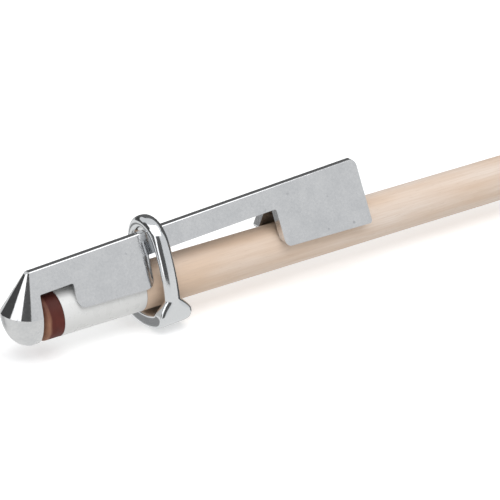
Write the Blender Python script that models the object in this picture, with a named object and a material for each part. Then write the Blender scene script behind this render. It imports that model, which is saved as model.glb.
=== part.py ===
"""Cue tip clamp on the end of a pool cue.

A cast bracket with a bullet nose lies along the cue, and a cast slide ring holds it down.
Everything is laid out on the cue's own axis: +X runs from the tip towards the butt, +Z is
the side the bracket sits on, and X = 0 is the joint between leather tip and ferrule.
At the end the whole part is moved so that its origin is the centre of the shaft's cut end.
"""
import math

import bmesh
import bpy
from mathutils import Matrix, Vector

MM = 0.001

# ---------------------------------------------------------------- cue
CUE_RADIUS = 6.5 * MM
TIP_RADIUS = 6.45 * MM
TIP_THICKNESS = 6.1 * MM
TIP_WALL = 4.6 * MM            # straight side of the leather, before its dome starts
TIP_GLUE_GAP = 0.1 * MM
FERRULE_LENGTH = 25.4 * MM
FERRULE_CAP = 4.0 * MM         # solid end of the ferrule under the leather
TENON_RADIUS = 4.0 * MM
TENON_CLEARANCE = 0.15 * MM
TENON_CHAMFER = 0.3 * MM
JOINT_GAP = 0.1 * MM           # ferrule to shaft shoulder
SHAFT_CUT_X = 165.0 * MM       # where the shaft is cut off
ROUND_STEPS = 64

# ---------------------------------------------------------------- bracket
RIDGE_TILT = math.radians(3.4)     # the ridge climbs towards the butt, which wedges the ring
BRACKET_X = -7.7 * MM              # origin of the bracket's tilted frame, on the cue's axis
RIDGE_HEIGHT = 13.8 * MM
RIDGE_HALF_WIDTH = 0.87 * MM
WALL_LEAN = math.radians(26.7)
NOSE_CENTRE_U = -0.4 * MM          # centre of the nose's rounding at the crease
CONE_LEAN = math.radians(12.0)
DOME_LEAN = math.radians(3.0)
APEX_RADIUS = 2.2 * MM             # rounding where the cone meets the ridge
CREASE_HEIGHT = 2.5 * MM           # cone above, dome below
DOME_DEPTH = 9.2 * MM
DOME_FULLNESS = 0.85               # below 1 the dome is fuller than a half ellipse
NOSE_FACE_X = -5.5 * MM            # back of the nose at the top of the notch,
NOSE_STEP_X = -6.0 * MM            # where it has slanted to, lower down,
NOSE_STEP_Z = 4.4 * MM
TIP_SEAT_X = -6.35 * MM            # and the upright face that presses on the leather
TIP_SEAT_Z = 2.4 * MM
NOSE_BACK_X = -0.5 * MM            # inside the notch: the nose's own width ends here,
TAB_FRONT_X = 2.5 * MM             # and the walls of the tabs begin here
NOTCH_END_X = 4.5 * MM
NOTCH_TOP = 8.0 * MM               # measured from the cue's axis square to the ridge
FRONT_TAB_END_X = 28.7 * MM
FRONT_TAB_FOOT_X = 27.8 * MM       # the same end lower down, where it slants back
FRONT_TAB_BOTTOM_Z = 2.45 * MM
LEAD_IN_LENGTH = 2.7 * MM          # slope on that end, which leads the ring onto the tab
LEAD_IN_DEPTH = 1.15 * MM
BAND_BOTTOM = 8.3 * MM
REAR_TAB_START_X = 69.9 * MM
REAR_TAB_END_X = 99.25 * MM
REAR_TAB_BOTTOM_Z = 3.1 * MM
TAB_CORNER = 1.8 * MM
REAR_TOP_CORNER = 1.8 * MM
REAR_FOOT_CORNER = 0.9 * MM
INNER_CORNER = 0.4 * MM
CHANNEL_DISTANCE = 6.6 * MM        # from the cue's axis to the channel's flat flanks
CHANNEL_START_X = 4.0 * MM
CHANNEL_CEILING = 9.4 * MM
CHANNEL_SLOT = 0.3 * MM            # half width left at the channel's apex

# ---------------------------------------------------------------- slide ring
RING_X = 31.3 * MM
RING_TOP = 18.25 * MM              # height of the ring's centreline above the cue's axis
ARCH_RADIUS = 6.75 * MM
LEG_RADIUS = 44.0 * MM
CORNER_RADIUS = 3.0 * MM
ARCH_TURN = math.radians(68.0)
LEG_TURN = math.radians(25.3)
CORNER_TURN = math.radians(64.7)
RING_SECTIONS = 96
SECTION_POINTS = 24
LIMB_HALF_WIDTH = 2.3 * MM         # along the cue
LIMB_HALF_THICKNESS = 1.4 * MM     # square to the cue
CROWN_HALF_THICKNESS = 1.7 * MM
FOOT_HALF_LENGTH = 5.05 * MM
FOOT_HALF_THICKNESS = 2.05 * MM
FLARE_START_Z = -1.5 * MM          # the limb swells out to the foot's length from here down
FLARE_LENGTH = 4.2 * MM
FOOT_BLEND_START_Z = -1.5 * MM     # it thickens and squares up from here down
FOOT_BLEND_LENGTH = 5.0 * MM
CROWN_BLEND_START_Z = 11.0 * MM    # and thickens a little from here up
CROWN_BLEND_LENGTH = 6.0 * MM
LIMB_SQUARENESS = 2.15             # exponent of the limb's superellipse section
FOOT_SQUARENESS = 6.5


# ---------------------------------------------------------------- small tools
def clear_scene():
    for item in list(bpy.data.objects):
        bpy.data.objects.remove(item, do_unlink=True)


def make_material(name, colour, roughness, metallic):
    material = bpy.data.materials.new(name)
    material.use_nodes = True
    shader = material.node_tree.nodes["Principled BSDF"]
    shader.inputs["Base Color"].default_value = (*colour, 1.0)
    shader.inputs["Roughness"].default_value = roughness
    shader.inputs["Metallic"].default_value = metallic
    return material


def new_object(name, mesh_maker, material=None):
    """Make an object from a function that fills a bmesh."""
    mesh = bpy.data.meshes.new(name)
    work = bmesh.new()
    mesh_maker(work)
    bmesh.ops.recalc_face_normals(work, faces=work.faces)
    work.to_mesh(mesh)
    work.free()
    item = bpy.data.objects.new(name, mesh)
    bpy.context.collection.objects.link(item)
    if material:
        mesh.materials.append(material)
    return item


def shade_round(item, angle_degrees=35.0):
    """Shade smooth, keeping edges steeper than the angle sharp."""
    item.data.shade_smooth()
    item.data.set_sharp_from_angle(angle=math.radians(angle_degrees))


def combine(target, tool, operation):
    """Boolean the tool into the target, then drop the tool."""
    modifier = target.modifiers.new(operation.lower(), "BOOLEAN")
    modifier.operation = operation
    modifier.solver = "EXACT"
    modifier.object = tool
    bpy.context.view_layer.update()
    evaluated = target.evaluated_get(bpy.context.evaluated_depsgraph_get())
    result = bpy.data.meshes.new_from_object(evaluated)
    target.modifiers.clear()
    target.data = result
    bpy.data.objects.remove(tool, do_unlink=True)


def loft(rings):
    """Return a mesh maker that skins equal rings of points and caps both ends."""
    def fill(work):
        rows = [[work.verts.new(point) for point in ring] for ring in rings]
        count = len(rows[0])
        for low, high in zip(rows, rows[1:]):
            for index in range(count):
                after = (index + 1) % count
                work.faces.new((low[index], low[after], high[after], high[index]))
        work.faces.new(reversed(rows[0]))
        work.faces.new(rows[-1])
    return fill


def turned(profile, steps=ROUND_STEPS):
    """Return a mesh maker for a solid turned about X from (x, radius) points."""
    def fill(work):
        rows = []
        for x, radius in profile:
            row = []
            for step in range(steps):
                angle = 2.0 * math.pi * step / steps
                row.append(work.verts.new((x, radius * math.cos(angle), radius * math.sin(angle))))
            rows.append(row)
        for low, high in zip(rows, rows[1:]):
            for index in range(steps):
                after = (index + 1) % steps
                work.faces.new((low[index], low[after], high[after], high[index]))
        work.faces.new(rows[0])
        work.faces.new(rows[-1])
    return fill


def rounded_outline(corners, arc_steps=6):
    """Turn (x, z, radius) corners into a closed outline with true arcs at the corners."""
    outline = []
    for index, (x, z, radius) in enumerate(corners):
        corner = Vector((x, z))
        before = Vector(corners[index - 1][:2])
        after = Vector(corners[(index + 1) % len(corners)][:2])
        if radius == 0.0:
            outline.append(corner)
            continue
        inwards = (before - corner).normalized()
        outwards = (after - corner).normalized()
        half = inwards.angle(outwards) / 2.0
        setback = radius / math.tan(half)
        centre = corner + (inwards + outwards).normalized() * (radius / math.sin(half))
        start = corner + inwards * setback - centre
        end = corner + outwards * setback - centre
        turn = start.angle_signed(end)
        for step in range(arc_steps + 1):
            angle = -turn * step / arc_steps
            spin = Matrix.Rotation(angle, 2)
            outline.append(centre + spin @ start)
    return outline


def along_ridge(u, v, w):
    """From the bracket's tilted frame (along, across, up) to the cue's frame."""
    cosine, sine = math.cos(RIDGE_TILT), math.sin(RIDGE_TILT)
    return Vector((BRACKET_X + u * cosine - w * sine, v, u * sine + w * cosine))


def height_at(x, w):
    """Height above the cue's axis of the line w above the bracket's frame, at x."""
    u = (x - BRACKET_X + w * math.sin(RIDGE_TILT)) / math.cos(RIDGE_TILT)
    return along_ridge(u, 0.0, w).z


# ---------------------------------------------------------------- bracket
def wall_half_width(w):
    return RIDGE_HALF_WIDTH + (RIDGE_HEIGHT - w) * math.tan(WALL_LEAN)


def nose_centre(w):
    """Where along the ridge the nose's rounding is centred, at a height."""
    lean = CONE_LEAN if w > CREASE_HEIGHT else DOME_LEAN
    return NOSE_CENTRE_U + (w - CREASE_HEIGHT) * math.tan(lean)


def nose_front(w, clearance=0.1 * MM):
    """A point just in front of the cone at a height, in the cue's frame."""
    ahead = wall_half_width(w)
    return along_ridge(nose_centre(w) - ahead - clearance, 0.0, w + ahead * math.tan(CONE_LEAN))


def bracket_rows():
    """Heights and nose half widths, from above the ridge down to the dome's bottom."""
    rows = []
    cone_steps = 5
    dome_steps = 16
    trim = 1.0 * MM
    top = RIDGE_HEIGHT + trim
    for step in range(cone_steps):
        w = top + (CREASE_HEIGHT - top) * step / cone_steps
        rows.append((w, wall_half_width(w)))
    crease_width = wall_half_width(CREASE_HEIGHT)
    for step in range(dome_steps):
        angle = 0.5 * math.pi * step / dome_steps
        w = CREASE_HEIGHT - DOME_DEPTH * math.sin(angle)
        rows.append((w, crease_width * math.cos(angle) ** DOME_FULLNESS))
    return rows


def bracket_ring(w, nose_half_width, arc_steps=24):
    """One level of the bracket: rounded nose, then the leaning walls back to the rear end."""
    centre_u = nose_centre(w)
    trim = 6.0 * MM
    rear = REAR_TAB_END_X + trim - BRACKET_X
    tab_front = TAB_FRONT_X - BRACKET_X
    nose_back = NOSE_BACK_X - BRACKET_X
    wall = wall_half_width(w)
    side = [(rear, wall), (tab_front, wall), (nose_back, nose_half_width)]
    points = [along_ridge(u, v, w) for u, v in side]
    for step in range(arc_steps + 1):
        angle = math.pi * (0.5 + step / arc_steps)
        ahead = nose_half_width * math.cos(angle)
        lift = -ahead * math.tan(CONE_LEAN)
        points.append(along_ridge(centre_u + ahead, nose_half_width * math.sin(angle), w + lift))
    points += [along_ridge(u, -v, w) for u, v in reversed(side)]
    return points


def side_outline():
    """The bracket's outline seen from the side, in the cue's frame."""
    far_left = -20.0 * MM
    far_down = -15.0 * MM
    apex_x = nose_front(RIDGE_HEIGHT).x
    front = nose_front(CREASE_HEIGHT)
    corners = [
        (apex_x, height_at(apex_x, RIDGE_HEIGHT), APEX_RADIUS),
        (REAR_TAB_END_X, height_at(REAR_TAB_END_X, RIDGE_HEIGHT), REAR_TOP_CORNER),
        (REAR_TAB_END_X, REAR_TAB_BOTTOM_Z, REAR_FOOT_CORNER),
        (REAR_TAB_START_X, REAR_TAB_BOTTOM_Z, TAB_CORNER),
        (REAR_TAB_START_X, height_at(REAR_TAB_START_X, BAND_BOTTOM), INNER_CORNER),
        (FRONT_TAB_END_X, height_at(FRONT_TAB_END_X, BAND_BOTTOM), INNER_CORNER),
        (FRONT_TAB_FOOT_X, FRONT_TAB_BOTTOM_Z, TAB_CORNER),
        (NOTCH_END_X, FRONT_TAB_BOTTOM_Z, TAB_CORNER),
        (NOTCH_END_X, height_at(NOTCH_END_X, NOTCH_TOP), INNER_CORNER),
        (NOSE_FACE_X, height_at(NOSE_FACE_X, NOTCH_TOP), INNER_CORNER),
        (NOSE_STEP_X, NOSE_STEP_Z, INNER_CORNER),
        (TIP_SEAT_X, TIP_SEAT_Z, INNER_CORNER),
        (TIP_SEAT_X, far_down, 0.0),
        (far_left, far_down, 0.0),
        (far_left, front.z, 0.0),
        (front.x, front.z, 0.0),
    ]
    return rounded_outline(corners)


def channel_rings():
    """The channel that straddles the cue: leaning flanks and a ceiling under the ridge."""
    apex = CHANNEL_DISTANCE / math.sin(WALL_LEAN)
    slot_z = apex - CHANNEL_SLOT / math.tan(WALL_LEAN)
    floor_z = -12.0 * MM
    past_end = 4.0 * MM
    ceiling_rise = slot_z - CHANNEL_CEILING / math.cos(RIDGE_TILT)
    meet_x = BRACKET_X + ceiling_rise / math.tan(RIDGE_TILT)
    rings = []
    for x in (CHANNEL_START_X, meet_x, REAR_TAB_END_X + past_end):
        ceiling = min(height_at(x, CHANNEL_CEILING), slot_z)
        top = (apex - ceiling) * math.tan(WALL_LEAN)
        bottom = (apex - floor_z) * math.tan(WALL_LEAN)
        corners = [(-bottom, floor_z), (-top, ceiling), (top, ceiling), (bottom, floor_z)]
        rings.append([(x, y, z) for y, z in corners])
    return rings


def lead_in_wedge(side):
    """The sliver taken off the front tab's rear end, so that the ring slides onto it."""
    reach = 1.0 * MM
    lower_w = -2.0 * MM
    slope = LEAD_IN_DEPTH / LEAD_IN_LENGTH
    tab_height = height_at(FRONT_TAB_END_X, BAND_BOTTOM) - FRONT_TAB_BOTTOM_Z
    end_lean = (FRONT_TAB_END_X - FRONT_TAB_FOOT_X) / tab_height
    rings = []
    for w in (lower_w, BAND_BOTTOM):
        end_x = FRONT_TAB_END_X - end_lean * (BAND_BOTTOM - w)
        end_u = (end_x - BRACKET_X + w * math.sin(RIDGE_TILT)) / math.cos(RIDGE_TILT)
        outside = wall_half_width(w) + slope * reach
        inside = wall_half_width(w) - LEAD_IN_DEPTH - slope * reach
        start_u = end_u - LEAD_IN_LENGTH - reach
        corners = [(start_u, outside), (end_u + reach, outside), (end_u + reach, inside)]
        rings.append([along_ridge(u, side * v, w) for u, v in corners])
    return rings


def build_bracket(material):
    levels = [bracket_ring(w, half_width) for w, half_width in bracket_rows()]
    bracket = new_object("clamp_bracket", loft(levels), material)
    outline = side_outline()
    reach = 16.0 * MM
    plate_rings = [[(p.x, y, p.y) for p in outline] for y in (-reach, reach)]
    combine(bracket, new_object("side_plate", loft(plate_rings)), "INTERSECT")
    combine(bracket, new_object("channel", loft(channel_rings())), "DIFFERENCE")
    for side in (-1.0, 1.0):
        combine(bracket, new_object("lead_in", loft(lead_in_wedge(side))), "DIFFERENCE")
    shade_round(bracket, angle_degrees=20.0)
    return bracket


# ---------------------------------------------------------------- slide ring
def ring_path():
    """Arcs of half the centreline: start across and up, heading, radius and turn."""
    y, z = 0.0, RING_TOP
    stages = [(ARCH_RADIUS, ARCH_TURN), (LEG_RADIUS, LEG_TURN), (CORNER_RADIUS, CORNER_TURN)]
    heading = 0.0
    arcs = []
    for radius, turn in stages:
        arcs.append((y, z, heading, radius, turn))
        y -= radius * (math.sin(heading + turn) - math.sin(heading))
        z -= radius * (math.cos(heading) - math.cos(heading + turn))
        heading += turn
    foot_radius = -y / math.sin(heading)
    arcs.append((y, z, heading, foot_radius, math.pi - heading))
    return arcs


def path_point(arcs, distance):
    """Point and heading on the half path at a distance from the crown."""
    for y, z, heading, radius, turn in arcs[:-1]:
        if distance <= radius * turn:
            break
        distance -= radius * turn
    else:
        y, z, heading, radius, turn = arcs[-1]
    end = heading + min(distance / radius, turn)
    across = y - radius * (math.sin(end) - math.sin(heading))
    up = z - radius * (math.cos(heading) - math.cos(end))
    return across, up, end


def smooth(value):
    """Ease from 0 to 1."""
    value = min(max(value, 0.0), 1.0)
    return value * value * (3.0 - 2.0 * value)


def limb_shape(up):
    """Half width along the cue, half thickness and squareness of the section at a height."""
    fall = min(max((FLARE_START_Z - up) / FLARE_LENGTH, 0.0), 1.0)
    swell = math.sqrt(1.0 - (1.0 - fall ** 2) ** 2)
    width = LIMB_HALF_WIDTH + (FOOT_HALF_LENGTH - LIMB_HALF_WIDTH) * swell
    to_foot = smooth((FOOT_BLEND_START_Z - up) / FOOT_BLEND_LENGTH)
    to_crown = smooth((up - CROWN_BLEND_START_Z) / CROWN_BLEND_LENGTH)
    thickness = LIMB_HALF_THICKNESS
    thickness += (FOOT_HALF_THICKNESS - LIMB_HALF_THICKNESS) * to_foot
    thickness += (CROWN_HALF_THICKNESS - LIMB_HALF_THICKNESS) * to_crown
    squareness = LIMB_SQUARENESS + (FOOT_SQUARENESS - LIMB_SQUARENESS) * to_foot
    return width, thickness, squareness


def ring_section(across, up, heading, side):
    """Superellipse section square to the centreline, on one side of the ring."""
    width, thickness, squareness = limb_shape(up)
    power = 2.0 / squareness
    outwards = Vector((0.0, -side * math.sin(heading), math.cos(heading)))
    centre = Vector((0.0, side * across, up))
    points = []
    for step in range(SECTION_POINTS):
        angle = 2.0 * math.pi * (step + 0.5) / SECTION_POINTS
        cosine, sine = math.cos(angle), math.sin(angle)
        along = width * math.copysign(abs(cosine) ** power, cosine)
        out = thickness * math.copysign(abs(sine) ** power, sine)
        points.append(centre + outwards * out + Vector((along, 0.0, 0.0)))
    return points


def build_ring(material):
    arcs = ring_path()
    half_length = sum(radius * turn for _, _, _, radius, turn in arcs)
    sections = []
    for index in range(RING_SECTIONS):
        distance = 2.0 * half_length * index / RING_SECTIONS
        side = 1.0
        if distance > half_length:
            distance = 2.0 * half_length - distance
            side = -1.0
        sections.append(ring_section(*path_point(arcs, distance), side))

    def fill(work):
        rows = [[work.verts.new(point) for point in section] for section in sections]
        for index, row in enumerate(rows):
            after = rows[(index + 1) % len(rows)]
            for place in range(SECTION_POINTS):
                beside = (place + 1) % SECTION_POINTS
                work.faces.new((row[place], row[beside], after[beside], after[place]))

    ring = new_object("slide_ring", fill, material)
    ring.location = (RING_X, 0.0, 0.0)
    ring.rotation_euler = (0.0, -RIDGE_TILT, 0.0)
    shade_round(ring, angle_degrees=60.0)
    return ring


# ---------------------------------------------------------------- cue
def build_shaft(material):
    shoulder = FERRULE_LENGTH + JOINT_GAP
    tenon_start = FERRULE_CAP + TENON_CLEARANCE
    profile = [
        (tenon_start, TENON_RADIUS - TENON_CHAMFER),
        (tenon_start + TENON_CHAMFER, TENON_RADIUS),
        (shoulder, TENON_RADIUS),
        (shoulder, CUE_RADIUS),
        (SHAFT_CUT_X, CUE_RADIUS),
    ]
    shaft = new_object("maple_shaft", turned(profile), material)
    shade_round(shaft)
    return shaft


def build_ferrule(material):
    bore = TENON_RADIUS + TENON_CLEARANCE
    profile = [
        (0.0, CUE_RADIUS),
        (FERRULE_LENGTH, CUE_RADIUS),
        (FERRULE_LENGTH, bore),
        (FERRULE_CAP, bore),
    ]
    ferrule = new_object("ferrule", turned(profile), material)
    shade_round(ferrule)
    return ferrule


def build_tip(material):
    """Leather tip: a straight side and a low dome that touches the nose's upright face."""
    profile = [(-TIP_GLUE_GAP, TIP_RADIUS), (-TIP_WALL, TIP_RADIUS)]
    dome_steps = 8
    dome_height = TIP_THICKNESS - TIP_WALL
    for step in range(1, dome_steps):
        angle = 0.5 * math.pi * step / dome_steps
        profile.append((-TIP_WALL - dome_height * math.sin(angle), TIP_RADIUS * math.cos(angle)))
    tip = new_object("leather_tip", turned(profile), material)
    shade_round(tip, angle_degrees=50.0)
    return tip


# ---------------------------------------------------------------- assembly
def carry_on_cut(parts):
    """Put the part's origin at the centre of the shaft's cut end, which the rest of the cue carries."""
    base = bpy.data.objects.new("cue_axis", None)
    bpy.context.collection.objects.link(base)
    base.location = (-SHAFT_CUT_X, 0.0, 0.0)
    for item in parts:
        item.parent = base


def main():
    clear_scene()
    zinc = make_material("zinc_plate", (0.62, 0.64, 0.66), 0.42, 1.0)
    bright_zinc = make_material("bright_zinc", (0.70, 0.72, 0.74), 0.18, 1.0)
    maple = make_material("maple", (0.80, 0.62, 0.46), 0.45, 0.0)
    white_plastic = make_material("ferrule_white", (0.86, 0.86, 0.83), 0.3, 0.0)
    leather = make_material("tip_leather", (0.17, 0.045, 0.03), 0.6, 0.0)
    parts = [
        build_bracket(zinc),
        build_ring(bright_zinc),
        build_shaft(maple),
        build_ferrule(white_plastic),
        build_tip(leather),
    ]
    carry_on_cut(parts)


main()
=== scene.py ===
"""Looks of the cue tip clamp on its cue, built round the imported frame.

Every piece is laid out on the cue's own axis, +X from the tip towards the butt and X = 0 at
the joint between leather and ferrule, and its mesh is then moved to where the frame has it.
"""
import math

import bmesh
import bpy
from mathutils import Matrix, Quaternion, Vector


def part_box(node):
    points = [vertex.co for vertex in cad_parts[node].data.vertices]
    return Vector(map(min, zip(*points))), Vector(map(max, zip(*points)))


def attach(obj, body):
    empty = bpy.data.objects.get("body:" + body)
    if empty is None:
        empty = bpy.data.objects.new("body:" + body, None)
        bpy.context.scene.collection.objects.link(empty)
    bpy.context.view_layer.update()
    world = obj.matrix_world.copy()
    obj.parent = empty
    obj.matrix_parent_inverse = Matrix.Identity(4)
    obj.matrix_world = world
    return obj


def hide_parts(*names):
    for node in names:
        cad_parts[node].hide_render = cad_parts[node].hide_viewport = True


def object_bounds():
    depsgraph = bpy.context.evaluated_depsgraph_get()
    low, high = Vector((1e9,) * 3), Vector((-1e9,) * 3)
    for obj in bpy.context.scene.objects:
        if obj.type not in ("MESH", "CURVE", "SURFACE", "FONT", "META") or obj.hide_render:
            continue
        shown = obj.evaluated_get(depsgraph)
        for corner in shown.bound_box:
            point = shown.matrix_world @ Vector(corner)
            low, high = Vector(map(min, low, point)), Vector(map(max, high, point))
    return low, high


MM = 0.001
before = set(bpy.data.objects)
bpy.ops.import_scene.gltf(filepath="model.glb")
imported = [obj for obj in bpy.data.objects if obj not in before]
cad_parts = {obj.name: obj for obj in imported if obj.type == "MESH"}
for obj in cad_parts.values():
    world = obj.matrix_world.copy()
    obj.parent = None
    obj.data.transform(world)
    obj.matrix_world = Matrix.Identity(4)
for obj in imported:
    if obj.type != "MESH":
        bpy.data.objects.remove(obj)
cad_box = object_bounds()

# ---------------------------------------------------------------- places read off the frame
ferrule_low, ferrule_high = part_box("ferrule")
tip_low, tip_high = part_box("leather_tip")
shaft_low, shaft_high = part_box("maple_shaft")
bracket_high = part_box("clamp_bracket")[1]
CUE_RADIUS = (ferrule_high.z - ferrule_low.z) / 2.0
ORIGIN = Vector((ferrule_low.x, 0.0, ferrule_low.z + CUE_RADIUS))
FERRULE_LENGTH = ferrule_high.x - ferrule_low.x
TIP_RADIUS = (tip_high.z - tip_low.z) / 2.0
TIP_THICKNESS = ORIGIN.x - tip_low.x
TIP_GLUE_GAP = ORIGIN.x - tip_high.x
TENON_START_X = shaft_low.x - ORIGIN.x
SHAFT_CUT_X = shaft_high.x - ORIGIN.x
REAR_TAB_END_X = bracket_high.x - ORIGIN.x

# ---------------------------------------------------------------- cue sizes
TIP_WALL = 4.6 * MM                # straight side of the leather, before its dome starts
FERRULE_CAP = 4.0 * MM             # solid end of the ferrule under the leather
TENON_RADIUS = 4.0 * MM
TENON_CLEARANCE = 0.15 * MM
JOINT_GAP = 0.1 * MM               # ferrule to shaft shoulder
EDGE_RADIUS = 0.25 * MM            # rounding of the shaft's end edges
ROUND_STEPS = 160

# ---------------------------------------------------------------- bracket sizes
RIDGE_TILT = math.radians(3.4)     # the ridge climbs towards the butt, which wedges the ring
BRACKET_X = -7.7 * MM              # origin of the bracket's tilted frame, on the cue's axis
RIDGE_HEIGHT = 13.8 * MM
RIDGE_HALF_WIDTH = 0.87 * MM
WALL_LEAN = math.radians(26.7)
NOSE_CENTRE_U = -0.4 * MM          # centre of the nose's rounding at the crease
CONE_LEAN = math.radians(12.0)
DOME_LEAN = math.radians(3.0)
APEX_RADIUS = 2.2 * MM             # rounding where the cone meets the ridge
CREASE_HEIGHT = 2.5 * MM           # cone above, dome below
DOME_DEPTH = 9.2 * MM
DOME_FULLNESS = 0.85               # below 1 the dome is fuller than a half ellipse
NOSE_FACE_X = -5.5 * MM            # back of the nose at the top of the notch,
NOSE_STEP_X = -6.0 * MM            # where it has slanted to, lower down,
NOSE_STEP_Z = 4.4 * MM
TIP_SEAT_X = -6.35 * MM            # and the upright face that presses on the leather
TIP_SEAT_Z = 2.4 * MM
NOSE_BACK_X = -0.5 * MM            # inside the notch: the nose's own width ends here,
TAB_FRONT_X = 2.5 * MM             # and the walls of the tabs begin here
NOTCH_END_X = 4.5 * MM
NOTCH_TOP = 8.0 * MM               # measured from the cue's axis square to the ridge
FRONT_TAB_END_X = 28.7 * MM
FRONT_TAB_FOOT_X = 27.8 * MM       # the same end lower down, where it slants back
FRONT_TAB_BOTTOM_Z = 2.45 * MM
LEAD_IN_LENGTH = 2.7 * MM          # slope on that end, which leads the ring onto the tab
LEAD_IN_DEPTH = 1.15 * MM
BAND_BOTTOM = 8.3 * MM
REAR_TAB_START_X = 69.9 * MM
REAR_TAB_BOTTOM_Z = 3.1 * MM
TAB_CORNER = 1.8 * MM
REAR_TOP_CORNER = 1.8 * MM
REAR_FOOT_CORNER = 0.9 * MM
INNER_CORNER = 0.4 * MM
CHANNEL_DISTANCE = 6.6 * MM        # from the cue's axis to the channel's flat flanks
CHANNEL_START_X = 4.0 * MM
CHANNEL_CEILING = 9.4 * MM
CHANNEL_SLOT = 0.3 * MM            # half width left at the channel's apex
BRACKET_EDGE = 0.22 * MM           # rounding of the casting's edges
RIDGE_ROUNDING = 0.4 * MM          # and of the two edges along the ridge

# ---------------------------------------------------------------- slide ring sizes
RING_X = 31.3 * MM
RING_TOP = 18.25 * MM              # height of the ring's centreline above the cue's axis
ARCH_RADIUS = 6.75 * MM
LEG_RADIUS = 44.0 * MM
CORNER_RADIUS = 3.0 * MM
ARCH_TURN = math.radians(68.0)
LEG_TURN = math.radians(25.3)
CORNER_TURN = math.radians(64.7)
RING_SECTIONS = 384
SECTION_POINTS = 72
LIMB_HALF_WIDTH = 2.3 * MM         # along the cue
LIMB_HALF_THICKNESS = 1.4 * MM     # square to the cue
CROWN_HALF_THICKNESS = 1.7 * MM
FOOT_HALF_LENGTH = 5.05 * MM
FOOT_HALF_THICKNESS = 2.05 * MM
FLARE_START_Z = -1.5 * MM          # the limb swells out to the foot's length from here down
FLARE_LENGTH = 4.2 * MM
FOOT_BLEND_START_Z = -1.5 * MM     # it thickens and squares up from here down
FOOT_BLEND_LENGTH = 5.0 * MM
CROWN_BLEND_START_Z = 11.0 * MM    # and thickens a little from here up
CROWN_BLEND_LENGTH = 6.0 * MM
LIMB_SQUARENESS = 2.15             # exponent of the limb's superellipse section
FOOT_SQUARENESS = 6.5

# ---------------------------------------------------------------- linear colours and value ranges
FULL_RANGE = (0.0, 1.0)
NOISE_RANGE = (0.3, 0.7)           # where most of a noise's values lie
ZINC_SHADE = (0.64, 0.65, 0.665, 1.0)
ZINC_LIGHT = (0.80, 0.805, 0.81, 1.0)
ZINC_DENT = (0.52, 0.53, 0.55, 1.0)
BRIGHT_ZINC_SHADE = (0.70, 0.725, 0.75, 1.0)
BRIGHT_ZINC_LIGHT = (0.82, 0.83, 0.84, 1.0)
MAPLE_PALE = (0.81, 0.71, 0.635, 1.0)
MAPLE_WARM = (0.71, 0.53, 0.395, 1.0)
MAPLE_STREAK = (0.64, 0.485, 0.37, 1.0)
MAPLE_RING = (0.60, 0.43, 0.31, 1.0)
MAPLE_FLECK = (0.52, 0.37, 0.27, 1.0)
FERRULE_SHADE = (0.73, 0.73, 0.72, 1.0)
FERRULE_LIGHT = (0.79, 0.79, 0.785, 1.0)
LEATHER_DARK = (0.085, 0.018, 0.013, 1.0)
LEATHER_RED = (0.16, 0.036, 0.026, 1.0)
# painted shade: the near black that the leather's top is darkened to, under the clamp's notch
LEATHER_PAINTED_SHADE = (0.045, 0.012, 0.009, 1.0)
LEATHER_BROWN = (0.22, 0.095, 0.058, 1.0)
LEATHER_TAN = (0.42, 0.22, 0.14, 1.0)
FLOOR_SHADE = (0.88, 0.88, 0.88, 1.0)
FLOOR_LIGHT = (0.91, 0.91, 0.91, 1.0)
WORLD_BELOW = (0.83, 0.83, 0.82, 1.0)
WORLD_ABOVE = (0.73, 0.738, 0.745, 1.0)

# ---------------------------------------------------------------- cards the metal mirrors
# Name, azimuths from +X towards +Y and elevations that it spans, in degrees, and brightness.
STUDIO_CARDS = [
    ("left_softbox_card", (172.0, 227.0), (30.0, 50.0), 1.5),
    ("left_low_softbox_card", (204.0, 227.0), (-12.0, 30.0), 1.5),
    ("left_low_dark_card", (172.0, 204.0), (-12.0, 30.0), 0.12),
    ("overhead_left_card", (150.0, 262.0), (50.0, 84.0), 1.5),
    ("camera_side_dark_card", (227.0, 275.0), (-12.0, 48.0), 0.10),
    ("right_rear_dark_card", (-26.0, 40.0), (-32.0, 44.0), 0.10),
    ("rear_dark_card", (40.0, 82.0), (8.0, 44.0), 0.13),
    ("rear_low_dark_card", (40.0, 82.0), (-40.0, 8.0), 0.10),
    ("left_rear_dark_card", (82.0, 173.0), (2.0, 24.0), 0.07),
    ("left_dark_card", (135.0, 173.0), (24.0, 50.0), 0.07),
    ("left_rear_low_card", (112.0, 131.0), (-36.0, -20.0), 0.28),
]


# ---------------------------------------------------------------- mesh tools
def fit_to_node(item, cad_node):
    """Bring the finer mesh, hundredths of a millimetre off, to its CAD node's own box."""
    points = [vertex.co for vertex in item.data.vertices]
    node_low, node_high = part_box(cad_node)
    fitted = Matrix.Identity(4)
    for axis in range(3):
        low = min(point[axis] for point in points)
        high = max(point[axis] for point in points)
        scale = (node_high[axis] - node_low[axis]) / (high - low)
        fitted[axis][axis] = scale
        fitted[axis][3] = node_low[axis] - low * scale
    item.data.transform(fitted)


def new_object(name, mesh_maker, place=None):
    """Make an object from a function that fills a bmesh, with its place baked into the mesh."""
    mesh = bpy.data.meshes.new(name)
    work = bmesh.new()
    mesh_maker(work)
    bmesh.ops.recalc_face_normals(work, faces=work.faces)
    work.to_mesh(mesh)
    work.free()
    if place:
        mesh.transform(place)
    item = bpy.data.objects.new(name, mesh)
    bpy.context.collection.objects.link(item)
    return item


def shade_round(item, angle_degrees=35.0):
    item.data.shade_smooth()
    item.data.set_sharp_from_angle(angle=math.radians(angle_degrees))


def combine(target, tool, operation):
    """Boolean the tool into the target, then drop the tool."""
    modifier = target.modifiers.new(operation.lower(), "BOOLEAN")
    modifier.operation = operation
    modifier.solver = "EXACT"
    modifier.object = tool
    bpy.context.view_layer.update()
    evaluated = target.evaluated_get(bpy.context.evaluated_depsgraph_get())
    result = bpy.data.meshes.new_from_object(evaluated)
    target.modifiers.clear()
    target.data = result
    bpy.data.objects.remove(tool, do_unlink=True)


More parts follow.
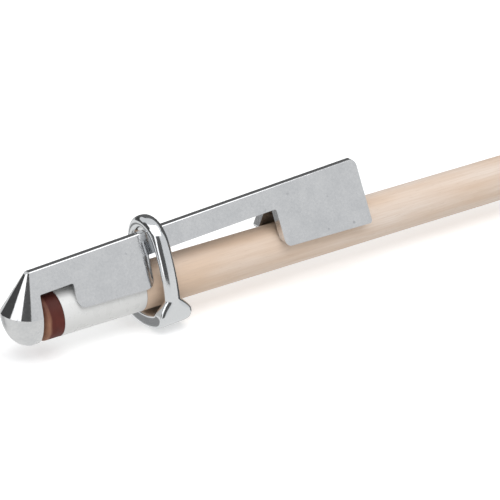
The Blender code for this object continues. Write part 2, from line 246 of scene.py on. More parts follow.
def merge_flats(item, angle_degrees=0.3):
    """Dissolve the edges that lie inside flat faces."""
    work = bmesh.new()
    work.from_mesh(item.data)
    bmesh.ops.remove_doubles(work, verts=work.verts, dist=1e-6)
    bmesh.ops.dissolve_limit(
        work, angle_limit=math.radians(angle_degrees), verts=work.verts, edges=work.edges)
    work.to_mesh(item.data)
    work.free()


def soften_edges(item, width, segments=3, angle_degrees=24.0):
    """Round the sharp edges as a casting's are, and keep its flats flat."""
    bevel = item.modifiers.new("edge_rounding", "BEVEL")
    bevel.width = width
    bevel.segments = segments
    bevel.limit_method = "ANGLE"
    bevel.angle_limit = math.radians(angle_degrees)
    bevel.use_clamp_overlap = True
    item.data.shade_smooth()
    weighted = item.modifiers.new("flat_shading", "WEIGHTED_NORMAL")
    weighted.keep_sharp = False
    weighted.weight = 100


def loft(rings):
    """Return a mesh maker that skins equal rings of points and caps both ends."""
    def fill(work):
        rows = [[work.verts.new(point) for point in ring] for ring in rings]
        count = len(rows[0])
        for low, high in zip(rows, rows[1:]):
            for index in range(count):
                after = (index + 1) % count
                work.faces.new((low[index], low[after], high[after], high[index]))
        work.faces.new(reversed(rows[0]))
        work.faces.new(rows[-1])
    return fill


def turned(profile):
    """Return a mesh maker for a solid turned about X from (x, radius) points."""
    rings = []
    for x, radius in profile:
        angles = [2.0 * math.pi * step / ROUND_STEPS for step in range(ROUND_STEPS)]
        rings.append([(x, radius * math.cos(angle), radius * math.sin(angle)) for angle in angles])
    return loft(rings)


def rounded_outline(corners, arc_steps=10):
    """Turn (x, z, radius) corners into an outline with true arcs at the corners."""
    outline = []
    for index, (x, z, radius) in enumerate(corners):
        corner = Vector((x, z))
        before = Vector(corners[index - 1][:2])
        after = Vector(corners[(index + 1) % len(corners)][:2])
        if radius == 0.0:
            outline.append(corner)
            continue
        inwards = (before - corner).normalized()
        outwards = (after - corner).normalized()
        half = inwards.angle(outwards) / 2.0
        setback = radius / math.tan(half)
        centre = corner + (inwards + outwards).normalized() * (radius / math.sin(half))
        start = corner + inwards * setback - centre
        end = corner + outwards * setback - centre
        turn = start.angle_signed(end)
        for step in range(arc_steps + 1):
            spin = Matrix.Rotation(-turn * step / arc_steps, 2)
            outline.append(centre + spin @ start)
    return outline


def smooth(value):
    """Ease from 0 to 1."""
    value = min(max(value, 0.0), 1.0)
    return value * value * (3.0 - 2.0 * value)


# ---------------------------------------------------------------- bracket
def along_ridge(u, v, w):
    """From the bracket's tilted frame (along, across, up) to the cue's frame."""
    cosine, sine = math.cos(RIDGE_TILT), math.sin(RIDGE_TILT)
    return Vector((BRACKET_X + u * cosine - w * sine, v, u * sine + w * cosine))


def height_at(x, w):
    """Height above the cue's axis of the line w above the bracket's frame, at x."""
    u = (x - BRACKET_X + w * math.sin(RIDGE_TILT)) / math.cos(RIDGE_TILT)
    return along_ridge(u, 0.0, w).z


def wall_half_width(w):
    return RIDGE_HALF_WIDTH + (RIDGE_HEIGHT - w) * math.tan(WALL_LEAN)


def nose_centre(w):
    """Where along the ridge the nose's rounding is centred, at a height."""
    lean = CONE_LEAN if w > CREASE_HEIGHT else DOME_LEAN
    return NOSE_CENTRE_U + (w - CREASE_HEIGHT) * math.tan(lean)


def nose_front(w, clearance=0.1 * MM):
    """A point just in front of the cone at a height, in the cue's frame."""
    ahead = wall_half_width(w)
    return along_ridge(nose_centre(w) - ahead - clearance, 0.0, w + ahead * math.tan(CONE_LEAN))


def bracket_rows():
    """Heights and half widths, from the ridge over its rounded edge down to the dome's bottom."""
    rows = []
    dome_steps = 48
    bunching = 1.5      # above 1 the rows crowd towards the dome's bottom
    round_steps = 6
    turn = 0.5 * math.pi - WALL_LEAN
    flat_half_width = RIDGE_HALF_WIDTH - RIDGE_ROUNDING * math.tan(turn / 2.0)
    for step in range(round_steps + 1):
        angle = turn * step / round_steps
        w = RIDGE_HEIGHT - RIDGE_ROUNDING * (1.0 - math.cos(angle))
        rows.append((w, flat_half_width + RIDGE_ROUNDING * math.sin(angle)))
    crease_width = wall_half_width(CREASE_HEIGHT)
    for step in range(dome_steps):
        angle = 0.5 * math.pi * (1.0 - (1.0 - step / dome_steps) ** bunching)
        w = CREASE_HEIGHT - DOME_DEPTH * math.sin(angle)
        rows.append((w, crease_width * math.cos(angle) ** DOME_FULLNESS))
    return rows


def bracket_ring(w, nose_half_width, arc_steps=96):
    """One level of the bracket: rounded nose, then the leaning walls back to the rear end."""
    centre_u = nose_centre(w)
    trim = 6.0 * MM
    rear = REAR_TAB_END_X + trim - BRACKET_X
    tab_front = TAB_FRONT_X - BRACKET_X
    nose_back = NOSE_BACK_X - BRACKET_X
    wall = nose_half_width if w > CREASE_HEIGHT else wall_half_width(w)
    side = [(rear, wall), (tab_front, wall), (nose_back, nose_half_width)]
    points = [along_ridge(u, v, w) for u, v in side]
    for step in range(arc_steps + 1):
        angle = math.pi * (0.5 + step / arc_steps)
        ahead = nose_half_width * math.cos(angle)
        lift = -ahead * math.tan(CONE_LEAN)
        points.append(along_ridge(centre_u + ahead, nose_half_width * math.sin(angle), w + lift))
    points += [along_ridge(u, -v, w) for u, v in reversed(side)]
    return points


def side_outline():
    """The bracket's outline seen from the side, in the cue's frame."""
    far_left = -20.0 * MM
    far_down = -15.0 * MM
    apex_x = nose_front(RIDGE_HEIGHT).x
    front = nose_front(CREASE_HEIGHT)
    return rounded_outline([
        (apex_x, height_at(apex_x, RIDGE_HEIGHT), APEX_RADIUS),
        (REAR_TAB_END_X, height_at(REAR_TAB_END_X, RIDGE_HEIGHT), REAR_TOP_CORNER),
        (REAR_TAB_END_X, REAR_TAB_BOTTOM_Z, REAR_FOOT_CORNER),
        (REAR_TAB_START_X, REAR_TAB_BOTTOM_Z, TAB_CORNER),
        (REAR_TAB_START_X, height_at(REAR_TAB_START_X, BAND_BOTTOM), INNER_CORNER),
        (FRONT_TAB_END_X, height_at(FRONT_TAB_END_X, BAND_BOTTOM), INNER_CORNER),
        (FRONT_TAB_FOOT_X, FRONT_TAB_BOTTOM_Z, TAB_CORNER),
        (NOTCH_END_X, FRONT_TAB_BOTTOM_Z, TAB_CORNER),
        (NOTCH_END_X, height_at(NOTCH_END_X, NOTCH_TOP), INNER_CORNER),
        (NOSE_FACE_X, height_at(NOSE_FACE_X, NOTCH_TOP), INNER_CORNER),
        (NOSE_STEP_X, NOSE_STEP_Z, INNER_CORNER),
        (TIP_SEAT_X, TIP_SEAT_Z, INNER_CORNER),
        (TIP_SEAT_X, far_down, 0.0),
        (far_left, far_down, 0.0),
        (far_left, front.z, 0.0),
        (front.x, front.z, 0.0),
    ])


def channel_rings():
    """The channel that straddles the cue: leaning flanks and a ceiling under the ridge."""
    apex = CHANNEL_DISTANCE / math.sin(WALL_LEAN)
    slot_z = apex - CHANNEL_SLOT / math.tan(WALL_LEAN)
    floor_z = -12.0 * MM
    past_end = 4.0 * MM
    ceiling_rise = slot_z - CHANNEL_CEILING / math.cos(RIDGE_TILT)
    meet_x = BRACKET_X + ceiling_rise / math.tan(RIDGE_TILT)
    rings = []
    for x in (CHANNEL_START_X, meet_x, REAR_TAB_END_X + past_end):
        ceiling = min(height_at(x, CHANNEL_CEILING), slot_z)
        top = (apex - ceiling) * math.tan(WALL_LEAN)
        bottom = (apex - floor_z) * math.tan(WALL_LEAN)
        corners = [(-bottom, floor_z), (-top, ceiling), (top, ceiling), (bottom, floor_z)]
        rings.append([(x, y, z) for y, z in corners])
    return rings


def lead_in_wedge(side):
    """The sliver taken off the front tab's rear end, so that the ring slides onto it."""
    reach = 1.0 * MM
    lower_w = -2.0 * MM
    slope = LEAD_IN_DEPTH / LEAD_IN_LENGTH
    tab_height = height_at(FRONT_TAB_END_X, BAND_BOTTOM) - FRONT_TAB_BOTTOM_Z
    end_lean = (FRONT_TAB_END_X - FRONT_TAB_FOOT_X) / tab_height
    rings = []
    for w in (lower_w, BAND_BOTTOM):
        end_x = FRONT_TAB_END_X - end_lean * (BAND_BOTTOM - w)
        end_u = (end_x - BRACKET_X + w * math.sin(RIDGE_TILT)) / math.cos(RIDGE_TILT)
        outside = wall_half_width(w) + slope * reach
        inside = wall_half_width(w) - LEAD_IN_DEPTH - slope * reach
        start_u = end_u - LEAD_IN_LENGTH - reach
        corners = [(start_u, outside), (end_u + reach, outside), (end_u + reach, inside)]
        rings.append([along_ridge(u, side * v, w) for u, v in corners])
    return rings


def build_bracket(place):
    levels = [bracket_ring(w, half_width) for w, half_width in bracket_rows()]
    bracket = new_object("cast_bracket", loft(levels))
    outline = side_outline()
    reach = 16.0 * MM
    plate_rings = [[(p.x, y, p.y) for p in outline] for y in (-reach, reach)]
    combine(bracket, new_object("side_plate", loft(plate_rings)), "INTERSECT")
    combine(bracket, new_object("channel", loft(channel_rings())), "DIFFERENCE")
    for side in (-1.0, 1.0):
        combine(bracket, new_object("lead_in", loft(lead_in_wedge(side))), "DIFFERENCE")
    merge_flats(bracket)
    bracket.data.transform(place)
    fit_to_node(bracket, "clamp_bracket")
    soften_edges(bracket, BRACKET_EDGE)
    return bracket


# ---------------------------------------------------------------- slide ring
def ring_path():
    """Arcs of half the centreline: start across and up, heading, radius and turn."""
    y, z = 0.0, RING_TOP
    stages = [(ARCH_RADIUS, ARCH_TURN), (LEG_RADIUS, LEG_TURN), (CORNER_RADIUS, CORNER_TURN)]
    heading = 0.0
    arcs = []
    for radius, turn in stages:
        arcs.append((y, z, heading, radius, turn))
        y -= radius * (math.sin(heading + turn) - math.sin(heading))
        z -= radius * (math.cos(heading) - math.cos(heading + turn))
        heading += turn
    foot_radius = -y / math.sin(heading)
    arcs.append((y, z, heading, foot_radius, math.pi - heading))
    return arcs


def path_point(arcs, distance):
    """Point and heading on the half path at a distance from the crown."""
    for y, z, heading, radius, turn in arcs[:-1]:
        if distance <= radius * turn:
            break
        distance -= radius * turn
    else:
        y, z, heading, radius, turn = arcs[-1]
    end = heading + min(distance / radius, turn)
    across = y - radius * (math.sin(end) - math.sin(heading))
    up = z - radius * (math.cos(heading) - math.cos(end))
    return across, up, end


def limb_shape(up):
    """Half width along the cue, half thickness and squareness of the section at a height."""
    fall = min(max((FLARE_START_Z - up) / FLARE_LENGTH, 0.0), 1.0)
    swell = math.sqrt(1.0 - (1.0 - fall ** 2) ** 2)
    width = LIMB_HALF_WIDTH + (FOOT_HALF_LENGTH - LIMB_HALF_WIDTH) * swell
    to_foot = smooth((FOOT_BLEND_START_Z - up) / FOOT_BLEND_LENGTH)
    to_crown = smooth((up - CROWN_BLEND_START_Z) / CROWN_BLEND_LENGTH)
    thickness = LIMB_HALF_THICKNESS
    thickness += (FOOT_HALF_THICKNESS - LIMB_HALF_THICKNESS) * to_foot
    thickness += (CROWN_HALF_THICKNESS - LIMB_HALF_THICKNESS) * to_crown
    squareness = LIMB_SQUARENESS + (FOOT_SQUARENESS - LIMB_SQUARENESS) * to_foot
    return width, thickness, squareness


def ring_section(across, up, heading, side):
    """Superellipse section square to the centreline, on one side of the ring."""
    width, thickness, squareness = limb_shape(up)
    power = 2.0 / squareness
    outwards = Vector((0.0, -side * math.sin(heading), math.cos(heading)))
    centre = Vector((0.0, side * across, up))
    points = []
    for step in range(SECTION_POINTS):
        angle = 2.0 * math.pi * (step + 0.5) / SECTION_POINTS
        cosine, sine = math.cos(angle), math.sin(angle)
        along = width * math.copysign(abs(cosine) ** power, cosine)
        out = thickness * math.copysign(abs(sine) ** power, sine)
        points.append(centre + outwards * out + Vector((along, 0.0, 0.0)))
    return points


def build_ring(place):
    arcs = ring_path()
    half_length = sum(radius * turn for _, _, _, radius, turn in arcs)
    sections = []
    for index in range(RING_SECTIONS):
        distance = 2.0 * half_length * index / RING_SECTIONS
        side = 1.0
        if distance > half_length:
            distance = 2.0 * half_length - distance
            side = -1.0
        sections.append(ring_section(*path_point(arcs, distance), side))

    def fill(work):
        rows = [[work.verts.new(point) for point in section] for section in sections]
        for index, row in enumerate(rows):
            after = rows[(index + 1) % len(rows)]
            for spot in range(SECTION_POINTS):
                beside = (spot + 1) % SECTION_POINTS
                work.faces.new((row[spot], row[beside], after[beside], after[spot]))

    tilt = Matrix.Rotation(-RIDGE_TILT, 4, "Y")
    ring = new_object("saddle_ring", fill, place @ Matrix.Translation((RING_X, 0.0, 0.0)) @ tilt)
    fit_to_node(ring, "slide_ring")
    shade_round(ring, angle_degrees=60.0)
    return ring


# ---------------------------------------------------------------- cue
def rounded_edge(x, radius, towards_x, steps=5):
    """Quarter round at a turned edge, from the flat end to the straight side."""
    points = []
    for step in range(steps + 1):
        angle = 0.5 * math.pi * step / steps
        inset = EDGE_RADIUS * (1.0 - math.sin(angle))
        drop = EDGE_RADIUS * (1.0 - math.cos(angle))
        points.append((x + towards_x * drop, radius - inset))
    return points


def build_shaft(place):
    shoulder = FERRULE_LENGTH + JOINT_GAP
    profile = rounded_edge(TENON_START_X, TENON_RADIUS, 1.0)
    profile += [(shoulder, TENON_RADIUS), (shoulder, CUE_RADIUS)]
    profile += list(reversed(rounded_edge(SHAFT_CUT_X, CUE_RADIUS, -1.0)))
    shaft = new_object("turned_maple_shaft", turned(profile), place)
    shade_round(shaft)
    return shaft


def build_ferrule(place):
    bore = TENON_RADIUS + TENON_CLEARANCE
    profile = [(0.0, CUE_RADIUS), (FERRULE_LENGTH, CUE_RADIUS), (FERRULE_LENGTH, bore), (FERRULE_CAP, bore)]
    ferrule = new_object("white_ferrule", turned(profile), place)
    shade_round(ferrule)
    return ferrule


def build_tip(place):
    """Leather tip: a straight side and a low dome that touches the nose's upright face."""
    dome_steps = 24
    dome_height = TIP_THICKNESS - TIP_WALL
    profile = [(-TIP_GLUE_GAP, TIP_RADIUS), (-TIP_WALL, TIP_RADIUS)]
    for step in range(1, dome_steps):
        angle = 0.5 * math.pi * step / dome_steps
        profile.append((-TIP_WALL - dome_height * math.sin(angle), TIP_RADIUS * math.cos(angle)))
    tip = new_object("domed_leather_tip", turned(profile), place)
    shade_round(tip, angle_degrees=50.0)
    return tip


# ---------------------------------------------------------------- material tools
def node(tree, kind, inputs=None, **settings):
    """Add a shader node, with its settings, and values or links for its inputs."""
    made = tree.nodes.new(kind)
    for name, value in settings.items():
        setattr(made, name, value)
    for socket, value in (inputs or {}).items():
        if isinstance(value, bpy.types.NodeSocket):
            tree.links.new(value, made.inputs[socket])
        else:
            made.inputs[socket].default_value = value
    return made


def math_node(tree, operation, first, second=0.0, third=0.0):
    made = node(tree, "ShaderNodeMath", {0: first, 1: second, 2: third}, operation=operation)
    return made.outputs[0]


def blend_colours(tree, factor, first, second):
    factor_socket, first_socket, second_socket, result = 0, 6, 7, 2
    inputs = {factor_socket: factor, first_socket: first, second_socket: second}
    return node(tree, "ShaderNodeMix", inputs, data_type="RGBA").outputs[result]


def spread(tree, value, old_range, new_range):
    """Map a value from one range to another, clamped."""
    inputs = {"Value": value}
    inputs["From Min"], inputs["From Max"] = old_range
    inputs["To Min"], inputs["To Max"] = new_range
    return node(tree, "ShaderNodeMapRange", inputs).outputs["Result"]


def noise(tree, place, scale, detail=3.0, roughness=0.5):
    """Noise from 0 to 1; the scale is in features per metre."""
    inputs = {"Vector": place, "Scale": scale, "Detail": detail, "Roughness": roughness}
    return node(tree, "ShaderNodeTexNoise", inputs).outputs["Fac"]


def stretched_noise(tree, place, scales, detail=3.0, roughness=0.5):
    """Noise with its own scale along each axis."""
    scaled = node(tree, "ShaderNodeMapping", {"Vector": place, "Scale": scales}).outputs["Vector"]
    return noise(tree, scaled, 1.0, detail, roughness)


def bump(tree, height, strength, distance, under=None):
    inputs = {"Height": height, "Strength": strength, "Distance": distance}
    if under:
        inputs["Normal"] = under
    return node(tree, "ShaderNodeBump", inputs).outputs["Normal"]


def start_material(name):
    """Return a material, its tree, its shader and the piece's own coordinates in metres."""
    material = bpy.data.materials.new(name)
    material.use_nodes = True
    tree = material.node_tree
    shader = tree.nodes["Principled BSDF"]
    place = node(tree, "ShaderNodeTexCoord").outputs["Object"]
    return material, tree, shader, place


def finish_surface(tree, shader, colour, roughness, normal):
    tree.links.new(colour, shader.inputs["Base Color"])
    tree.links.new(roughness, shader.inputs["Roughness"])
    tree.links.new(normal, shader.inputs["Normal"])


# ---------------------------------------------------------------- zinc
def dents(tree, place):
    """Sparse ragged dents: 1 on the untouched surface, 0 at the bottom of a dent."""
    raggedness = 0.9 * MM
    raggedness_scale = 900.0
    spot_scale = 230.0
    bottom_to_rim = (0.03, 0.13)
    dented_to_untouched = (0.62, 0.66)
    ragged = node(tree, "ShaderNodeTexNoise", {"Vector": place, "Scale": raggedness_scale}).outputs["Color"]
    scaled = {0: ragged, "Scale": raggedness}
    shift = node(tree, "ShaderNodeVectorMath", scaled, operation="SCALE").outputs[0]
    moved = node(tree, "ShaderNodeVectorMath", {0: place, 1: shift}, operation="ADD").outputs[0]
    spots = node(tree, "ShaderNodeTexVoronoi", {"Vector": moved, "Scale": spot_scale})
    hollow = spread(tree, spots.outputs["Distance"], bottom_to_rim, FULL_RANGE)
    luck = node(tree, "ShaderNodeSeparateColor", {"Color": spots.outputs["Color"]}).outputs[0]
    untouched = spread(tree, luck, dented_to_untouched, FULL_RANGE)
    return math_node(tree, "MAXIMUM", hollow, untouched)


def behind_nose(tree, axes):
    """0 on the polished nose, rising to 1 at its back."""
    fade = 3.0 * MM
    nose_back = ORIGIN.x + NOSE_FACE_X
    return spread(tree, axes["X"], (nose_back - fade, nose_back), FULL_RANGE)


def below_crease(tree, axes):
    """1 on the nose's dome and 0 on its cone; the crease between them lies in a leaning plane."""
    fade = 0.3 * MM
    crease = ORIGIN + along_ridge(NOSE_CENTRE_U, 0.0, CREASE_HEIGHT)
    slope = math.tan(CONE_LEAN - RIDGE_TILT)
    crease_level = crease.z + crease.x * slope
    level = math_node(tree, "MULTIPLY_ADD", axes["X"], slope, axes["Z"])
    return spread(tree, level, (crease_level - fade, crease_level), (1.0, 0.0))


def zinc_roughness(tree, axes, speckle, satin):
    """Satin behind the nose, polished on its cone and a little duller on its dome."""
    dome_dullness = 0.22
    satin_roughness = spread(tree, speckle, NOISE_RANGE, (0.10, 0.18))
    cone_roughness = spread(tree, speckle, NOISE_RANGE, (0.07, 0.13))
    on_dome = below_crease(tree, axes)
    nose_roughness = math_node(tree, "MULTIPLY_ADD", on_dome, dome_dullness, cone_roughness)
    step = math_node(tree, "SUBTRACT", satin_roughness, nose_roughness)
    return math_node(tree, "MULTIPLY_ADD", satin, step, nose_roughness)


def zinc_plate_material():
    """Satin zinc on the plates, with fine speckle and a few dents, and a polished nose."""
    material, tree, shader, place = start_material("cast_zinc_satin")
    axes = node(tree, "ShaderNodeSeparateXYZ", {"Vector": place}).outputs
    satin = behind_nose(tree, axes)
    cloud = noise(tree, place, scale=220.0, detail=4.0)
    speckle = noise(tree, place, scale=1500.0, roughness=0.7)
    dent = dents(tree, place)
    cloud_share, speckle_share = 0.45, 0.55
    clouded = math_node(tree, "MULTIPLY", cloud, cloud_share)
    tone = math_node(tree, "MULTIPLY_ADD", speckle, speckle_share, clouded)
    tone = spread(tree, tone, NOISE_RANGE, FULL_RANGE)
    colour = blend_colours(tree, tone, ZINC_SHADE, ZINC_LIGHT)
    colour = blend_colours(tree, dent, ZINC_DENT, colour)
    nose_grain, satin_grain = 0.25, 1.0
    grain = math_node(tree, "MULTIPLY_ADD", satin, satin_grain - nose_grain, nose_grain)
    fine = math_node(tree, "MULTIPLY", speckle, grain)
    normal = bump(tree, fine, strength=0.2, distance=0.03 * MM)
    normal = bump(tree, cloud, strength=0.3, distance=0.08 * MM, under=normal)
    normal = bump(tree, dent, strength=0.5, distance=0.10 * MM, under=normal)
    finish_surface(tree, shader, colour, zinc_roughness(tree, axes, speckle, satin), normal)
    shader.inputs["Metallic"].default_value = 1.0
    return material


def bright_zinc_material():
    """Glossy zinc on the ring: slight waviness of the casting under a bright skin."""
    material, tree, shader, place = start_material("bright_zinc_gloss")
    wave = noise(tree, place, scale=260.0, detail=2.0)
    speckle = noise(tree, place, scale=2400.0, detail=2.0)
    colour = blend_colours(tree, speckle, BRIGHT_ZINC_SHADE, BRIGHT_ZINC_LIGHT)
    roughness = spread(tree, speckle, NOISE_RANGE, (0.09, 0.16))
    normal = bump(tree, wave, strength=0.3, distance=0.08 * MM)
    normal = bump(tree, speckle, strength=0.12, distance=0.03 * MM, under=normal)
    finish_surface(tree, shader, colour, roughness, normal)
    shader.inputs["Metallic"].default_value = 1.0
    return material


# ---------------------------------------------------------------- maple
def growth_rings(tree, axes, place):
    """Wavy growth rings round a pith well outside the shaft, from 0 to 1 across each ring."""
    pith_y, pith_z = 38.0 * MM, -24.0 * MM
    ring_spacing = 1.7 * MM
    waviness = 3.0 * MM
    wander = stretched_noise(tree, place, (9.0, 70.0, 70.0), detail=2.0)
    off_y = math_node(tree, "SUBTRACT", axes["Y"], pith_y)
    off_z = math_node(tree, "SUBTRACT", axes["Z"], pith_z)
    squared = math_node(tree, "MULTIPLY_ADD", off_y, off_y, math_node(tree, "MULTIPLY", off_z, off_z))
    radius = math_node(tree, "SQRT", squared)
    radius = math_node(tree, "MULTIPLY_ADD", wander, waviness, radius)
    wave = math_node(tree, "SINE", math_node(tree, "MULTIPLY", radius, 2.0 * math.pi / ring_spacing))
    return spread(tree, wave, (-1.0, 1.0), FULL_RANGE)


def wood_warmth(tree, axes, place):
    """Soft clouds of warmer wood, and warmer, darker wood towards the ferrule."""
    cloud_strength, mean_warmth, ferrule_end_warmth = 0.9, 0.5, 0.55
    tint_start = ORIGIN.x + FERRULE_LENGTH
    tint_end = ORIGIN.x + 90.0 * MM
    clouds = stretched_noise(tree, place, (26.0, 130.0, 130.0), detail=2.0)
    clouds = spread(tree, clouds, (0.35, 0.65), (-0.5, 0.5))
    warmth = math_node(tree, "MULTIPLY_ADD", clouds, cloud_strength, mean_warmth)
    # a plain tint along the shaft: warmer and darker towards the ferrule
    towards_ferrule = spread(tree, axes["X"], (tint_start, tint_end), (1.0, 0.0))
    return math_node(tree, "MULTIPLY_ADD", towards_ferrule, ferrule_end_warmth, warmth)


def maple_material():
    """Pale maple with growth rings, fine streaks and flecks along the shaft, and soft clouds."""
    material, tree, shader, place = start_material("sanded_maple")
    axes = node(tree, "ShaderNodeSeparateXYZ", {"Vector": place}).outputs
    ring_strength = 0.16
    streaks = stretched_noise(tree, place, (70.0, 1900.0, 1900.0), detail=4.0, roughness=0.6)
    flecks = stretched_noise(tree, place, (350.0, 3200.0, 3200.0), detail=2.0)
    rings = math_node(tree, "MULTIPLY", growth_rings(tree, axes, place), ring_strength)
    colour = blend_colours(tree, wood_warmth(tree, axes, place), MAPLE_PALE, MAPLE_WARM)
    colour = blend_colours(tree, spread(tree, streaks, (0.35, 0.7), (0.0, 0.55)), colour, MAPLE_STREAK)
    colour = blend_colours(tree, rings, colour, MAPLE_RING)
    colour = blend_colours(tree, spread(tree, flecks, (0.62, 0.75), (0.0, 0.35)), colour, MAPLE_FLECK)
    roughness = spread(tree, streaks, NOISE_RANGE, (0.42, 0.58))
    normal = bump(tree, streaks, strength=0.25, distance=0.05 * MM)
    finish_surface(tree, shader, colour, roughness, normal)
    return material


# ---------------------------------------------------------------- ferrule and tip
def ferrule_material():
    """Polished off-white plastic with a soft mottle."""
    material, tree, shader, place = start_material("white_ferrule_plastic")
    mottle = noise(tree, place, scale=420.0)
    colour = blend_colours(tree, mottle, FERRULE_SHADE, FERRULE_LIGHT)
    roughness = spread(tree, mottle, NOISE_RANGE, (0.26, 0.31))
    normal = bump(tree, mottle, strength=0.1, distance=0.02 * MM)
    finish_surface(tree, shader, colour, roughness, normal)
    return material


def leather_side(tree, axes, fibres):
    """Where the leather is dark, and where shade is painted on it: its straight side, and its upper part
    under the clamp's notch.
    """
    fibre_shift = 0.9 * MM
    fade = 0.7 * MM
    pale_end = ORIGIN.x - 3.3 * MM
    painted_shade_heights = (ORIGIN.z + 0.5 * MM, ORIGIN.z + 4.5 * MM)
    wobble = math_node(tree, "MULTIPLY_ADD", fibres, fibre_shift, axes["X"])
    side = spread(tree, wobble, (pale_end - fade, pale_end), FULL_RANGE)
    # painted shade: the leather darkens upwards, where the clamp's notch shades it, and there also takes
    # the dark side's colour
    painted_shade = spread(tree, axes["Z"], painted_shade_heights, (0.0, 0.75))
    return math_node(tree, "MAXIMUM", side, painted_shade), painted_shade


def leather_material():
    """Pressed leather: dark red side, paler brown where the dome was shaped, painted shade on top."""
    material, tree, shader, place = start_material("burnished_leather")
    axes = node(tree, "ShaderNodeSeparateXYZ", {"Vector": place}).outputs
    painted_shade_strength = 0.7
    fibres = stretched_noise(tree, place, (900.0, 420.0, 420.0), detail=5.0, roughness=0.65)
    blotches = noise(tree, place, scale=380.0, detail=2.0)
    side, painted_shade = leather_side(tree, axes, fibres)
    dark = blend_colours(tree, blotches, LEATHER_DARK, LEATHER_RED)
    # painted shade on the leather's upper part
    dark = blend_colours(tree, math_node(tree, "MULTIPLY", painted_shade, painted_shade_strength), dark, LEATHER_PAINTED_SHADE)
    pale = blend_colours(tree, fibres, LEATHER_BROWN, LEATHER_TAN)
    roughness = spread(tree, fibres, NOISE_RANGE, (0.5, 0.7))
    normal = bump(tree, fibres, strength=0.45, distance=0.12 * MM)
    finish_surface(tree, shader, blend_colours(tree, side, pale, dark), roughness, normal)
    shader.inputs["Specular IOR Level"].default_value = 0.22
    return material


# ---------------------------------------------------------------- studio
def floor_material():
    material, tree, shader, place = start_material("pale_floor")
    grain = noise(tree, place, scale=900.0, detail=2.0)
    tree.links.new(blend_colours(tree, grain, FLOOR_SHADE, FLOOR_LIGHT), shader.inputs["Base Color"])
    shader.inputs["Roughness"].default_value = 0.9
    shader.inputs["Specular IOR Level"].default_value = 0.1
    shader.inputs["Emission Color"].default_value = (1.0, 1.0, 1.0, 1.0)
    shader.inputs["Emission Strength"].default_value = 0.3
    return material


def glow_material(name, brightness):
    material = bpy.data.materials.new(name)
    material.use_nodes = True
    tree = material.node_tree
    tree.nodes.clear()
    colour = (brightness, brightness, brightness, 1.0)
    glow = node(tree, "ShaderNodeEmission", {"Color": colour, "Strength": 1.0})
    node(tree, "ShaderNodeOutputMaterial", {"Surface": glow.outputs[0]})
    return material


def direction(azimuth_degrees, elevation_degrees):
    """Unit vector; azimuth is counted from +X towards +Y."""
    azimuth, elevation = math.radians(azimuth_degrees), math.radians(elevation_degrees)
    flat = math.cos(elevation)
    return Vector((flat * math.cos(azimuth), flat * math.sin(azimuth), math.sin(elevation)))


def studio_centre():
    return (cad_box[0] + cad_box[1]) / 2.0


def build_card(name, azimuths, elevations, brightness, distance=1.4, steps=16):
    """A curved studio card round the object, seen only in reflections."""
    centre = studio_centre()

    def fill(work):
        rows = []
        for row in range(steps + 1):
            elevation = elevations[0] + (elevations[1] - elevations[0]) * row / steps
            spots = [azimuths[0] + (azimuths[1] - azimuths[0]) * spot / steps for spot in range(steps + 1)]
            rows.append([work.verts.new(centre + direction(spot, elevation) * distance) for spot in spots])
        for low, high in zip(rows, rows[1:]):
            for spot in range(steps):
                work.faces.new((low[spot], low[spot + 1], high[spot + 1], high[spot]))

    card = new_object(name, fill)
    card.data.materials.append(glow_material(name, brightness))
    card.visible_camera = False
    card.visible_diffuse = False
    card.visible_shadow = False


def build_floor():
    """A wide pale floor just under the object, which takes its shadow but isn't mirrored in it."""
    half = 3.0
    drop = 0.1 * MM

    def fill(work):
        corners = [(-half, -half), (half, -half), (half, half), (-half, half)]
        work.faces.new([work.verts.new((x, y, cad_box[0].z - drop)) for x, y in corners])

    floor = new_object("studio_floor", fill)
    floor.data.materials.append(floor_material())
    floor.visible_diffuse = False
    floor.visible_glossy = False


def build_surroundings():
    """An even pale world, a little brighter below the horizon."""
    world = bpy.data.worlds.new("studio_surroundings")
    world.use_nodes = True
    tree = world.node_tree
    horizon = (-0.12, 0.02)
    place = node(tree, "ShaderNodeTexCoord").outputs["Generated"]
    height = node(tree, "ShaderNodeSeparateXYZ", {"Vector": place}).outputs["Z"]
    above = spread(tree, height, horizon, FULL_RANGE)
    sky = blend_colours(tree, above, WORLD_BELOW, WORLD_ABOVE)
    tree.links.new(sky, tree.nodes["Background"].inputs["Color"])
    bpy.context.scene.world = world


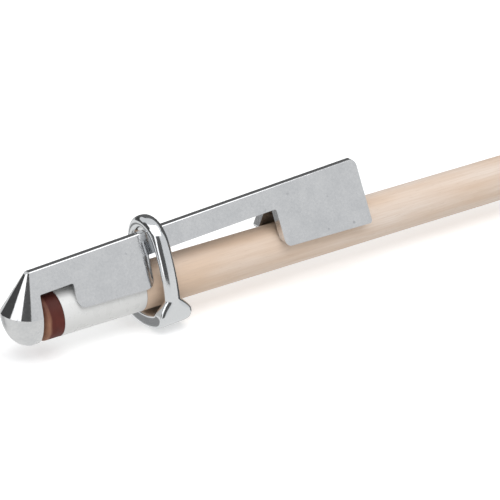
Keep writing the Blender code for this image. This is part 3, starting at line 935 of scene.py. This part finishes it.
def build_overhead_softbox():
    """One soft lamp, high and on the camera's side, aimed at the object."""
    away = direction(266.0, 68.0)
    distance = 1.1
    light = bpy.data.lights.new("overhead_softbox", "AREA")
    light.shape = "RECTANGLE"
    light.size = 1.2
    light.size_y = 0.9
    light.energy = 6.4
    lamp = bpy.data.objects.new("overhead_softbox", light)
    lamp.location = studio_centre() + away * distance
    lamp.rotation_mode = "QUATERNION"
    lamp.rotation_quaternion = (-away).to_track_quat("-Z", "Y")
    bpy.context.collection.objects.link(lamp)


def build_camera():
    azimuth, elevation, roll = math.radians(-33.95), math.radians(24.27), math.radians(-1.31)
    distance = 597.07 * MM
    target = ORIGIN + Vector((63.30, 0.0, 0.96)) * MM
    flat = math.cos(elevation)
    back = Vector((math.sin(azimuth) * flat, -math.cos(azimuth) * flat, math.sin(elevation)))
    lens = bpy.data.cameras.new("photo_camera")
    lens.sensor_width = 36.0
    lens.lens = 153.7
    lens.clip_start = 0.01
    lens.clip_end = 20.0
    camera = bpy.data.objects.new("photo_camera", lens)
    camera.location = target + back * distance
    camera.rotation_mode = "QUATERNION"
    level = (-back).to_track_quat("-Z", "Y")
    camera.rotation_quaternion = level @ Quaternion((0.0, 0.0, 1.0), roll)
    bpy.context.collection.objects.link(camera)
    bpy.context.scene.camera = camera


# ---------------------------------------------------------------- assembly
def stand_for(piece, cad_node, body, material):
    """The piece takes the CAD node's place, and moves with its body."""
    piece.data.materials.clear()
    piece.data.materials.append(material)
    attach(piece, body)
    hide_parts(cad_node)


def main():
    place = Matrix.Translation(ORIGIN)
    stand_for(build_bracket(place), "clamp_bracket", "clamp", zinc_plate_material())
    stand_for(build_ring(place), "slide_ring", "ring", bright_zinc_material())
    stand_for(build_shaft(place), "maple_shaft", "cue", maple_material())
    stand_for(build_ferrule(place), "ferrule", "cue", ferrule_material())
    stand_for(build_tip(place), "leather_tip", "cue", leather_material())
    build_floor()
    build_surroundings()
    build_overhead_softbox()
    for card in STUDIO_CARDS:
        build_card(*card)
    build_camera()
    view = bpy.context.scene.view_settings
    view.view_transform = "Standard"
    view.look = "None"


main()
